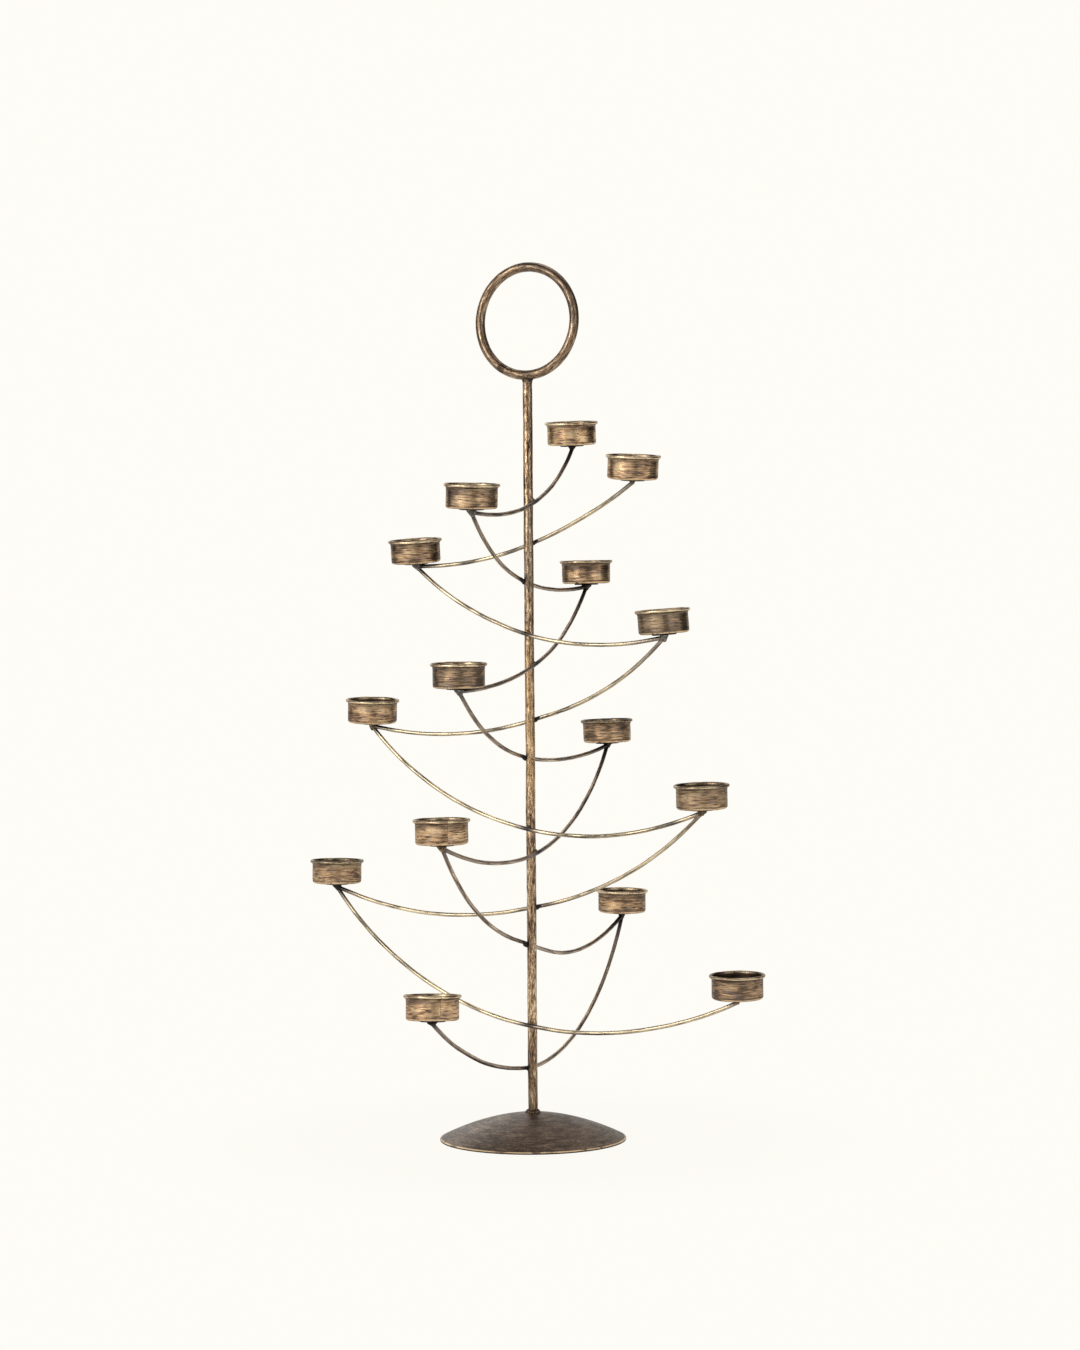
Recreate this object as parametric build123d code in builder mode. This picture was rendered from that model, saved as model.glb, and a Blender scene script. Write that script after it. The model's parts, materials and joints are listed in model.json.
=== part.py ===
from build123d import *

import os
from math import cos, radians, sin

# A welded iron candle tree for fifteen tealights: a domed foot, one upright rod with a ring on
# top, and thirteen bent wire arms that zigzag down the rod with a cup on every end.
# Millimetres, Z up. The origin is on the rod's axis, level with the table.
# Cups with odd numbers stand over the Y axis, cups with even numbers over the X axis.

os.makedirs("parts", exist_ok=True)

# Foot, a pressed dome of sheet
foot_diameter = 156
foot_height = 22.3
foot_shoulder_radius = 42
foot_shoulder_height = 15.3
foot_edge = 1.2
foot_sheet = 2.0

# Upright rod and the ring bent from the same rod
rod_diameter = 8
ring_diameter = 98.8
ring_height = 686
ring_turn = -4.5
ring_saddle = 1.0

# Cup for a tealight: a rolled wall on a pressed floor
cup_diameter = 42.1
cup_height = 20.2
cup_sheet = 0.7
lip_diameter = 46.2
lip_bead = 2.6
lip_roll_start = -55
lip_roll_end = 160
flare_height = 2.6
floor_height = 2.4
floor_corner = 2.0
floor_inset = 0.1
seam_width = 0.3
seam_depth = 0.2
notch_depth = 0.8

# Disc between the cup and the wires, thin at its edge
disc_diameter = 20
disc_thickness = 1.2
disc_edge = 0.3
disc_flat_diameter = 7.2

# Wire arms
wire_diameter = 3.4
wire_clearance = 0.1
cope_clearance = 0.05

# Weld beads
bead_height = 4.6
bead_top_diameter = 6.6
bead_bottom_diameter = 4.8
stem_bead_diameter = 6.6
ring_bead_diameter = 11.8
ring_bead_height = 7.5
foot_bead_diameter = 14.4
foot_bead_height = 5.2
foot_bead_waist = (1.2, 1.6)

# Each cup from the top down: reach along its axis, height of its rim, how far it leans
# towards +X and towards +Y, and which way its seam faces, in degrees from +X
cups = [
    (88, 606.5, 1.0, -5.6, -48),
    (96, 571, 4.5, -4.5, 118),
    (-106, 546, 3.5, -4.0, 105),
    (-107, 505, -0.5, -5.8, 140),
    (116, 487, 0.0, -1.5, 96),
    (122, 443.5, -3.0, -3.1, 132),
    (-132, 401.5, 0.8, -2.0, 150),
    (-150, 368.5, 3.0, -3.5, 88),
    (158, 347, -1.0, -1.4, 124),
    (155, 300, -0.5, -2.5, 112),
    (-164, 278.5, -0.5, -0.5, -50),
    (-186, 229.5, 0.5, 0.5, 98),
    (188, 194, 1.0, 0.0, 143),
    (185, 146, 0.0, -1.5, 120),
    (-182, 141.5, -1.5, 4.0, -46),
]

# Each arm from the top down, from the cup of its own number to the cup two further on: side of
# the rod it is welded to, height where it crosses, its rise there in degrees, and how far it
# runs straight from there towards its own cup and towards the other
arms = [
    ("+X", 534.0, 18.0, 0, 0),
    ("+Y", 499.4, 20.0, 0, 0),
    ("-X", 468.3, 12.0, 0, 0),
    ("-Y", 423.6, 16.0, 0, 0),
    ("+X", 398.5, 17.0, 0, 0),
    ("+Y", 351.2, 15.7, 15, 5),
    ("-X", 320.4, 8.5, 0, 0),
    ("-Y", 260.2, 11.0, 0, 0),
    ("+X", 240.2, 9.2, 0, 0),
    ("+Y", 194.0, 11.2, 5, 18),
    ("-X", 163.9, 13.8, 20, 42),
    ("-Y", 95.5, 8.5, 0, 0),
    ("-X", 59.3, -5.0, 0, 0),
]

rod_radius = rod_diameter / 2
wire_radius = wire_diameter / 2
wall_radius = cup_diameter / 2
inner_radius = wall_radius - cup_sheet
sides = {"+X": Vector(1, 0, 0), "-X": Vector(-1, 0, 0), "+Y": Vector(0, 1, 0), "-Y": Vector(0, -1, 0)}


def outward(number):
    """Direction from the rod to a cup."""
    reach = cups[number - 1][0]
    line = Vector(0, 1, 0) if number % 2 else Vector(1, 0, 0)
    return line if reach > 0 else -line


def cup_plane(number):
    """Plane under a cup, with its origin at the middle of the cup's underside."""
    reach, rim_height, lean_x, lean_y, _ = cups[number - 1]
    axis = Vector(sin(radians(lean_x)), sin(radians(lean_y)), 1).normalized()
    middle = outward(number) * abs(reach) + Vector(0, 0, rim_height - cup_height / 2)
    return Plane(origin=middle - axis * (cup_height / 2), x_dir=outward(number), z_dir=axis)


def side_plane(plane):
    """Upright plane through the axis of another plane, for a profile to be turned."""
    return Plane(origin=plane.origin, x_dir=plane.x_dir, z_dir=-plane.y_dir)


def turning_axis(plane):
    """Axis of a cup, for its profiles to turn about."""
    return Axis(plane.origin, plane.z_dir)


def seam_plane(number):
    """A cup's plane, turned so that its x direction faces the seam."""
    facing = radians(cups[number - 1][4])
    plane = cup_plane(number)
    level = Vector(cos(facing), sin(facing), 0)
    return Plane(origin=plane.origin, x_dir=level - plane.z_dir * level.dot(plane.z_dir), z_dir=plane.z_dir)


def knot(number):
    """Point under a cup where the ends of its wires meet."""
    plane = cup_plane(number)
    return plane.origin - plane.z_dir * (disc_thickness + wire_radius + cope_clearance)


def crossing(number):
    """Point where the middle of an arm's wire passes the rod."""
    side, height, *_ = arms[number - 1]
    return sides[side] * (rod_radius + wire_clearance + wire_radius) + Vector(0, 0, height)


def wire_solid(number, radius):
    """Arm's wire, bent as an arc up to each cup from its straight stretch beside the rod."""
    _, _, rise, own_side, other_side = arms[number - 1]
    climb = outward(number) * cos(radians(rise)) + Vector(0, 0, sin(radians(rise)))
    near = crossing(number) + climb * own_side
    far = crossing(number) - climb * other_side
    with BuildPart() as wire:
        with BuildLine() as route:
            TangentArc(near, knot(number), tangent=climb)
            if own_side or other_side:
                Line(near, far)
            TangentArc(far, knot(number + 2), tangent=-climb)
        path = route.wire()
        with BuildSketch(Plane(origin=path @ 0, z_dir=path % 0)):
            Circle(radius)
        sweep(path=path)
    return wire.part


# Foot: the dome is turned as one thin section, open over the rod's hole
with BuildPart() as foot:
    with BuildSketch(Plane.XZ):
        with BuildLine():
            rim = (foot_diameter / 2, foot_edge)
            ThreePointArc((rod_radius, foot_height), (foot_shoulder_radius, foot_shoulder_height), rim)
            Line(rim, (foot_diameter / 2, 0))
            Line((foot_diameter / 2, 0), (foot_diameter / 2 - foot_sheet, 0))
            ThreePointArc(
                (foot_diameter / 2 - foot_sheet, 0),
                (foot_shoulder_radius, foot_shoulder_height - foot_sheet),
                (rod_radius, foot_height - foot_sheet),
            )
            Line((rod_radius, foot_height - foot_sheet), (rod_radius, foot_height))
        make_face()
    revolve(axis=Axis.Z)
foot.part.label = "foot"
export_step(foot.part, "parts/foot.step")

# Ring, a closed hoop of the rod, turned a little away from the even cups' line
ring_plane = Plane(
    origin=(0, 0, ring_height),
    x_dir=(cos(radians(ring_turn)), sin(radians(ring_turn)), 0),
    z_dir=(sin(radians(ring_turn)), -cos(radians(ring_turn)), 0),
)
with BuildPart(ring_plane) as top_ring:
    Torus(ring_diameter / 2 - rod_radius, rod_radius)
top_ring.part.label = "top_ring"
export_step(top_ring.part, "parts/top_ring.step")

# Rod, from the hole in the foot up to the ring, hollowed at the top to seat it
rod_foot = foot_height - foot_sheet
rod_top = ring_height - ring_diameter / 2 + ring_saddle
with BuildPart() as stem:
    with BuildSketch(Plane.XY.offset(rod_foot)):
        Circle(rod_radius)
    extrude(amount=rod_top - rod_foot)
    add(top_ring.part, mode=Mode.SUBTRACT)
stem.part.label = "stem"
export_step(stem.part, "parts/stem.step")

# Cups: each has a wall rolled from strip with a beaded lip, and a pressed floor under it
lip_middle = Vector(lip_diameter / 2 - lip_bead / 2, cup_height - lip_bead / 2)
flare_start = Vector(wall_radius, lip_middle.Y - flare_height)
bead_outside = lip_middle + Vector(lip_bead / 2, 0).rotate(Axis.Z, lip_roll_start)
bead_top = lip_middle + Vector(lip_bead / 2, 0).rotate(Axis.Z, (lip_roll_start + lip_roll_end) / 2)
bead_inside = lip_middle + Vector(lip_bead / 2, 0).rotate(Axis.Z, lip_roll_end)
lip_foot = Vector(inner_radius, lip_middle.Y - lip_bead / 2)

for number in range(1, len(cups) + 1):
    plane = cup_plane(number)
    with BuildPart() as wall:
        with BuildSketch(side_plane(plane)):
            with BuildLine():
                Polyline(lip_foot, (inner_radius, floor_height), (wall_radius, floor_height), flare_start)
                TangentArc(flare_start, bead_outside, tangent=(0, 1))
                ThreePointArc(bead_outside, bead_top, bead_inside)
                Line(bead_inside, lip_foot)
            make_face()
        revolve(axis=turning_axis(plane))
        with BuildSketch(seam_plane(number)):
            with Locations((wall_radius, 0)):
                Rectangle(2 * seam_depth, seam_width)
        extrude(amount=flare_start.Y, mode=Mode.SUBTRACT)
        with BuildSketch(seam_plane(number).offset(lip_middle.Y)):
            with Locations((lip_diameter / 2, 0)):
                Rectangle(2 * notch_depth, seam_width)
        extrude(amount=lip_bead, mode=Mode.SUBTRACT)
    wall.part.label = f"cup_wall_{number:02}"
    export_step(wall.part, f"parts/cup_wall_{number:02}.step")

    outer = wall_radius - floor_inset
    inner = outer - cup_sheet
    with BuildPart() as floor:
        with BuildSketch(side_plane(plane)):
            with BuildLine():
                Line((0, cup_sheet), (0, 0))
                Line((0, 0), (outer - floor_corner, 0))
                RadiusArc((outer - floor_corner, 0), (outer, floor_corner), -floor_corner)
                Polyline((outer, floor_corner), (outer, floor_height), (inner, floor_height))
                Line((inner, floor_height), (inner, floor_corner))
                RadiusArc((inner, floor_corner), (outer - floor_corner, cup_sheet), floor_corner - cup_sheet)
                Line((outer - floor_corner, cup_sheet), (0, cup_sheet))
            make_face()
        revolve(axis=turning_axis(plane))
    floor.part.label = f"cup_floor_{number:02}"
    export_step(floor.part, f"parts/cup_floor_{number:02}.step")

# Discs between the cups and the wires, each turned under its cup
with BuildPart() as backing_discs:
    for number in range(1, len(cups) + 1):
        plane = cup_plane(number)
        with BuildSketch(side_plane(plane)):
            with BuildLine():
                Line((0, 0), (disc_diameter / 2, 0))
                Line((disc_diameter / 2, 0), (disc_diameter / 2, -disc_edge))
                Line((disc_diameter / 2, -disc_edge), (disc_flat_diameter / 2, -disc_thickness))
                Line((disc_flat_diameter / 2, -disc_thickness), (0, -disc_thickness))
                Line((0, -disc_thickness), (0, 0))
            make_face()
        revolve(axis=turning_axis(plane))
backing_discs.part.label = "backing_discs"
export_step(backing_discs.part, "parts/backing_discs.step")

# Weld beads under the cups, a short cone on each disc
with BuildPart() as cup_welds:
    for number in range(1, len(cups) + 1):
        plane = cup_plane(number)
        top = plane.offset(-disc_thickness)
        with BuildSketch(top):
            Circle(bead_top_diameter / 2)
        with BuildSketch(top.offset(-bead_height)):
            Circle(bead_bottom_diameter / 2)
        loft()
cup_welds.part.label = "cup_welds"
export_step(cup_welds.part, "parts/cup_welds.step")

# Arms: every wire ends in its cup's bead, and one that runs up to a cup is cut to fit the
# wire that runs down from the same cup
wires = [wire_solid(number, wire_radius) for number in range(1, len(arms) + 1)]
for number, wire in enumerate(wires, start=1):
    with BuildPart() as arm:
        add(wire)
        add(cup_welds.part, mode=Mode.SUBTRACT)
        if number + 2 <= len(arms):
            add(wire_solid(number + 2, wire_radius + cope_clearance), mode=Mode.SUBTRACT)
    arm.part.label = f"arm_{number:02}"
    export_step(arm.part, f"parts/arm_{number:02}.step")

# Weld beads where the arms pass the rod, each a ball between the rod and the wire
with BuildPart() as stem_welds:
    for number in range(1, len(arms) + 1):
        side, height, *_ = arms[number - 1]
        with Locations(sides[side] * rod_radius + Vector(0, 0, height)):
            Sphere(stem_bead_diameter / 2)
    add(stem.part, mode=Mode.SUBTRACT)
    for wire in wires:
        add(wire, mode=Mode.SUBTRACT)
stem_welds.part.label = "stem_welds"
export_step(stem_welds.part, "parts/stem_welds.step")

# Weld between the rod and the ring
with BuildPart() as ring_weld:
    joint = ring_height - ring_diameter / 2
    low = joint - ring_bead_height / 2
    high = joint + ring_bead_height / 2
    with BuildSketch(Plane.XZ):
        with BuildLine():
            ThreePointArc((rod_radius, low), (ring_bead_diameter / 2, joint), (rod_radius, high))
            Polyline((rod_radius, high), (0, high), (0, low), (rod_radius, low))
        make_face()
    revolve(axis=Axis.Z)
    add(stem.part, mode=Mode.SUBTRACT)
    add(top_ring.part, mode=Mode.SUBTRACT)
ring_weld.part.label = "ring_weld"
export_step(ring_weld.part, "parts/ring_weld.step")

# Weld round the rod on top of the foot
with BuildPart() as foot_weld:
    with BuildSketch(Plane.XZ):
        with BuildLine():
            skirt = (foot_bead_diameter / 2, foot_height - foot_sheet / 2)
            Line((rod_radius, foot_height - foot_sheet / 2), skirt)
            ThreePointArc(
                skirt,
                (rod_radius + foot_bead_waist[0], foot_height + foot_bead_waist[1]),
                (rod_radius, foot_height + foot_bead_height),
            )
            Line((rod_radius, foot_height + foot_bead_height), (rod_radius, foot_height - foot_sheet / 2))
        make_face()
    revolve(axis=Axis.Z)
    add(foot.part, mode=Mode.SUBTRACT)
foot_weld.part.label = "foot_weld"
export_step(foot_weld.part, "parts/foot_weld.step")
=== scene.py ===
import json
import math
import random

import bpy
from mathutils import Matrix, Vector


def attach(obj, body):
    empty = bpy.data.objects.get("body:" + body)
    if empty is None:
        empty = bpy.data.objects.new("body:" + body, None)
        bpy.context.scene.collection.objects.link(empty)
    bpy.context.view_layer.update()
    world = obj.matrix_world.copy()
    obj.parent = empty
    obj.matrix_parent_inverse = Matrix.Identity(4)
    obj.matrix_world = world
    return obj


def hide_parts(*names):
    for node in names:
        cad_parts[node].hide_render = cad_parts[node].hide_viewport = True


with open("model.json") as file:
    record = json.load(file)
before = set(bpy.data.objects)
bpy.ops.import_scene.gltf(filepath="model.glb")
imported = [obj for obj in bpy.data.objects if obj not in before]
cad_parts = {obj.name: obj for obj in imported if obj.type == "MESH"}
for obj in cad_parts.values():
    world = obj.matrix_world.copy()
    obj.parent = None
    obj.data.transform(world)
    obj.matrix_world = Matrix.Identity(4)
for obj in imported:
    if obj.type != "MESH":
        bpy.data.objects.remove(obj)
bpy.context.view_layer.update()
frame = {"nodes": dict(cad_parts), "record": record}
scene = bpy.context.scene
mm = 0.001


# Camera, light and floor
view = {
    "distance": 2.6007,  # from the rod
    "azimuth": 25.5,
    "height": 0.4352,
    "lens": 82.67,
    "shift": (0.008, -0.0407),
    "roll": -0.45,
}

light = {
    "background": (254, 252, 246),
    "ambient": 0.5,  # the world's share of the light on matt surfaces
    "lamps": (  # name, size, watts, colour, distance, turn to the right of the camera's way, height
        ("keyPanel", 1.1, 30, (1, 0.985, 0.96), 2.5, -47, 1.2),
        ("fillPanel", 0.7, 3.4, (0.97, 0.985, 1), 2.5, 38, 0.9),
        ("topPanel", 1.4, 12, (1, 1, 1), 0.5, 150, 2.3),
        ("backPanel", 1.2, 6, (1, 1, 1), 2.4, -160, 1.3),
    ),
    "cards": (  # dark cards out of the picture: width, height, distance, turn, height of the middle
        (1.5, 2.6, 3.4, 9, 1.2),
        (1.9, 2.0, 1.6, 104, 1.1),
        (1.0, 2.0, 1.6, -114, 1.1),
    ),
    "ceiling": (3.4, 2.7),  # size of the dark card overhead, and its height
    "cardColour": (58, 56, 54),
    "aim": 0.35,  # height of the point that lamps and cards face
    "floorSize": 30,
    "floorShare": 0.05,  # how much of the floor's look is lit, so that it keeps the shadow
    "floorFade": (0.1, 0.36),  # distances from the rod over which that share runs out
}


def linear(red, green, blue):  # a colour as picked on screen, 0 to 255, as Blender's linear numbers
    steps = [value / 255 for value in (red, green, blue)]
    return tuple(s / 12.92 if s <= 0.04045 else ((s + 0.055) / 1.055) ** 2.4 for s in steps) + (1,)


class Signal:  # one socket of a material; sums on it add the Math nodes
    def __init__(self, finish, socket):
        self.finish = finish
        self.socket = socket

    def maths(self, operation, first, second):
        return self.finish.add("ShaderNodeMath", {"operation": operation}, {0: first, 1: second})

    def __add__(self, other):
        return self.maths("ADD", self, other)

    def __radd__(self, other):
        return self.maths("ADD", other, self)

    def __sub__(self, other):
        return self.maths("SUBTRACT", self, other)

    def __rsub__(self, other):
        return self.maths("SUBTRACT", other, self)

    def __mul__(self, other):
        return self.maths("MULTIPLY", self, other)

    def __rmul__(self, other):
        return self.maths("MULTIPLY", other, self)


class Finish:  # a material or a world, and the few nodes that all the finishes share
    def __init__(self, owner):
        self.owner = owner
        owner.use_nodes = True
        self.tree = owner.node_tree
        self.tree.nodes.clear()

    def add(self, kind, settings=None, values=None, output=0):
        node = self.tree.nodes.new(kind)
        for name, value in (settings or {}).items():
            setattr(node, name, value)
        for name, value in (values or {}).items():
            if isinstance(value, Signal):
                self.tree.links.new(value.socket, node.inputs[name])
            else:
                node.inputs[name].default_value = value
        return Signal(self, node.outputs[output]) if node.outputs else None

    def most(self, first, second):
        return self.add("ShaderNodeMath", {"operation": "MAXIMUM"}, {0: first, 1: second})

    def blend(self, share, first, second):  # colours; 0 gives the first and 1 the second
        return self.add("ShaderNodeMix", {"data_type": "RGBA"}, {0: share, 6: first, 7: second}, 2)

    def ease(self, value, low, high, start=0.0, end=1.0):  # soft step from start to end
        settings = {"interpolation_type": "SMOOTHSTEP"}
        values = {"Value": value, "From Min": low, "From Max": high, "To Min": start, "To Max": end}
        return self.add("ShaderNodeMapRange", settings, values)

    def band(self, value, low, full, still, high):  # up to 1 from low to full, and down from still to high
        return self.ease(value, low, full) * self.ease(value, still, high, 1.0, 0.0)

    def noise(self, vector, scale, detail=3.0, roughness=0.6, distortion=0.0):
        values = {
            "Vector": vector,
            "Scale": scale,
            "Detail": detail,
            "Roughness": roughness,
            "Distortion": distortion,
        }
        return self.add("ShaderNodeTexNoise", None, values)

    def stretch(self, vector, scale):
        return self.add("ShaderNodeMapping", None, {"Vector": vector, "Scale": scale})

    def place(self):  # where a point is on the object, in metres
        return self.add("ShaderNodeTexCoord", None, None, "Object")

    def mark(self, name):  # what the mesh says about a point
        return self.add("ShaderNodeAttribute", {"attribute_name": name}, None, "Vector")

    def apart(self, vector, axis):
        return self.add("ShaderNodeSeparateXYZ", None, {0: vector}, axis)

    def distance(self, vector, point):
        return self.add("ShaderNodeVectorMath", {"operation": "DISTANCE"}, {0: vector, 1: point}, "Value")

    def close(self, shader):
        owner = "World" if isinstance(self.owner, bpy.types.World) else "Material"
        self.add("ShaderNodeOutput" + owner, None, {"Surface": shader})
        return self.owner

    def metal(self, colour, roughness, metallic, height, depth, rim=255):  # rim: grey of its glancing shine
        raised = {"Height": height, "Strength": 1.0, "Distance": depth}
        values = {
            "Base Color": colour,
            "Roughness": roughness,
            "Metallic": metallic,
            "Normal": self.add("ShaderNodeBump", None, raised, "Normal"),
            "Specular Tint": linear(rim, rim, rim),
        }
        return self.close(self.add("ShaderNodeBsdfPrincipled", None, values))


def seen(finish):  # 1 for rays that show the background: straight, in a reflection or through glass
    path = finish.add("ShaderNodeLightPath", None, None, "Is Camera Ray")
    for name in ("Is Glossy Ray", "Is Transmission Ray"):
        path = finish.most(path, finish.add("ShaderNodeLightPath", None, None, name))
    return path


def noneSelected():
    if bpy.context.object and bpy.context.object.mode != "OBJECT":
        bpy.ops.object.mode_set(mode="OBJECT")
    bpy.ops.object.select_all(action="DESELECT")


def aroundCamera(distance, turn, height):  # a point round the rod, turned to the right of the camera
    angle = math.radians(view["azimuth"] + turn)
    return Vector((math.sin(angle) * distance, -math.cos(angle) * distance, height))


def setUpCamera():
    camera = bpy.data.objects.new("photoCamera", bpy.data.cameras.new("photoCamera"))
    scene.collection.objects.link(camera)
    camera.data.sensor_fit = "VERTICAL"
    camera.data.sensor_height = 36
    camera.data.lens = view["lens"]
    camera.data.shift_x, camera.data.shift_y = view["shift"]
    turn = math.radians(view["azimuth"])
    level = Matrix.Rotation(turn, 4, "Z") @ Matrix.Rotation(math.radians(90), 4, "X")
    roll = Matrix.Rotation(math.radians(view["roll"]), 4, "Z")
    spot = aroundCamera(view["distance"], 0, view["height"])
    camera.matrix_world = Matrix.Translation(spot) @ level @ roll
    scene.camera = camera


def setUpLight():
    scene.view_settings.view_transform = "Standard"
    background = linear(*light["background"])
    world = Finish(bpy.data.worlds.new("studio"))
    ambient = world.add("ShaderNodeBackground", None, {"Color": background, "Strength": light["ambient"]})
    shown = world.add("ShaderNodeBackground", None, {"Color": background, "Strength": 1.0})
    shader = world.add("ShaderNodeMixShader", None, {0: seen(world), 1: ambient, 2: shown})
    scene.world = world.close(shader)
    for name, size, watts, colour, distance, turn, height in light["lamps"]:
        spot = aroundCamera(distance, turn, height)
        bpy.ops.object.light_add(type="AREA", location=spot)
        lamp = bpy.context.object
        lamp.name = name
        lamp.data.shape = "SQUARE"
        lamp.data.size = size
        lamp.data.energy = watts
        lamp.data.color = colour
        lamp.rotation_euler = (spot - Vector((0, 0, light["aim"]))).to_track_quat("Z", "Y").to_euler()


def setUpCards():
    card = Finish(bpy.data.materials.new("card"))
    card.close(card.add("ShaderNodeBsdfDiffuse", None, {"Color": linear(*light["cardColour"])}))
    size, ceiling = light["ceiling"]
    cards = [(size, size, Vector((0, 0, ceiling)))]
    for wide, tall, distance, turn, height in light["cards"]:
        cards.append((wide, tall, aroundCamera(distance, turn, height)))
    for index, (wide, tall, spot) in enumerate(cards):
        noneSelected()
        bpy.ops.mesh.primitive_plane_add(size=1, location=spot)
        sheet = bpy.context.object
        sheet.name = f"card{index}"
        sheet.scale = (wide, tall, 1)
        sheet.rotation_euler = (Vector((0, 0, light["aim"])) - spot).to_track_quat("Z", "Y").to_euler()
        sheet.data.materials.append(card.owner)
        sheet.visible_camera = False


def setUpFloor():
    background = linear(*light["background"])
    bpy.ops.mesh.primitive_plane_add(size=light["floorSize"])
    floor = bpy.context.object
    floor.name = "floor"
    paper = Finish(bpy.data.materials.new("paper"))
    away = paper.distance(paper.place(), (0, 0, 0))
    near, far = light["floorFade"]
    share = paper.ease(away, near, far, light["floorShare"], 0.0)
    lit = paper.add("ShaderNodeBsdfDiffuse", None, {"Color": background})
    plain = paper.add("ShaderNodeEmission", None, {"Color": background, "Strength": 1.0})
    toned = paper.add("ShaderNodeMixShader", None, {0: share, 1: plain, 2: lit})
    shader = paper.add("ShaderNodeMixShader", None, {0: seen(paper), 1: lit, 2: toned})
    floor.data.materials.append(paper.close(shader))


setUpCamera()
setUpLight()
setUpCards()
setUpFloor()
print("camera, light and floor are set")


# Where things are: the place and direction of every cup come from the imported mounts
cupSeat = 10.0 * mm  # from the middle of a cup's bore down to its underside
seats = {}
for mount in frame["record"]["mounts"]:
    if mount["name"].startswith("tealight_cup_"):
        axis = Vector(mount["axis"])
        seats[int(mount["name"][-2:])] = (Vector(mount["pos_m"]) - axis * cupSeat, axis)

wire = {
    "radius": 1.7 * mm,
    "rodRadius": 4.0 * mm,
    "gap": 0.1 * mm,
    "underCup": 2.95 * mm,  # from a cup's underside down to the middle of its wires
    # Side of the rod that each arm passes, height in mm there, rise in degrees, and mm that it runs
    # straight from there towards its own cup and towards the other
    "arms": (
        ((1, 0, 0), 534.0, 18.0, 0, 0),
        ((0, 1, 0), 499.4, 20.0, 0, 0),
        ((-1, 0, 0), 468.3, 12.0, 0, 0),
        ((0, -1, 0), 423.6, 16.0, 0, 0),
        ((1, 0, 0), 398.5, 17.0, 0, 0),
        ((0, 1, 0), 351.2, 15.7, 15, 5),
        ((-1, 0, 0), 320.4, 8.5, 0, 0),
        ((0, -1, 0), 260.2, 11.0, 0, 0),
        ((1, 0, 0), 240.2, 9.2, 0, 0),
        ((0, 1, 0), 194.0, 11.2, 5, 18),
        ((-1, 0, 0), 163.9, 13.8, 20, 42),
        ((0, -1, 0), 95.5, 8.5, 0, 0),
        ((-1, 0, 0), 59.3, -5.0, 0, 0),
    ),
}


def outward(number):  # from the rod to a cup, level
    x, y, _ = seats[number][0]
    return Vector((0, math.copysign(1, y), 0)) if number % 2 else Vector((math.copysign(1, x), 0, 0))


def knot(number):  # where the wires meet under a cup
    spot, axis = seats[number]
    return spot - axis * wire["underCup"]


def crossing(number):  # where a wire's middle passes the rod, and which way it climbs there
    side, height, rise, *_ = wire["arms"][number - 1]
    reach = wire["rodRadius"] + wire["gap"] + wire["radius"]
    climb = outward(number) * math.cos(math.radians(rise)) + Vector((0, 0, math.sin(math.radians(rise))))
    return Vector(side) * reach + Vector((0, 0, height * mm)), climb


def bend(arm, cup):  # where a wire's bend up to a cup begins, and which way it goes there
    spot, climb = crossing(arm)
    own, other = wire["arms"][arm - 1][3:]
    return (spot + climb * own * mm, climb) if arm == cup else (spot - climb * other * mm, -climb)


def leaving(arm, cup):  # which way a wire leaves its knot under a cup, towards the rod
    start, way = bend(arm, cup)
    chord = (knot(cup) - start).normalized()
    return way - chord * (2 * chord.dot(way))


# Finishes
tones = {
    # soot also gives the colour of the painted shade under the cups' lips and on their undersides
    "soot": (34, 29, 26),
    "umber": (84, 71, 61),
    "gold": (194, 157, 120),
    "bright": (226, 196, 156),
    "cupBrown": (102, 83, 70),
    "cupVeil": (122, 114, 98),
    "cupBlotch": (128, 114, 107),
    # colour of the painted shade inside a cup
    "insideShade": (44, 31, 24),
    "lipBrass": (232, 211, 177),
    "lipBrown": (156, 131, 107),
    # colour of the painted shade on top of a cup's lip
    "lipTopShade": (76, 58, 44),
    # colour of the painted highlight round a cup's lip
    "lipHighlight": (240, 216, 176),
    "lipSoot": (56, 46, 40),
    "rodBrown": (60, 46, 36),
    "rodGold": (164, 137, 109),
    "rodShine": (244, 218, 182),
    "rodSoot": (44, 33, 25),
    "wireTint": (118, 108, 104),
    "wireSoot": (34, 29, 27),
    "footDark": (63, 48, 39),
    "footBrown": (90, 72, 59),
    "footShine": (156, 136, 112),
    "footSide": (58, 42, 32),
}
colours = {name: linear(*value) for name, value in tones.items()}

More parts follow.
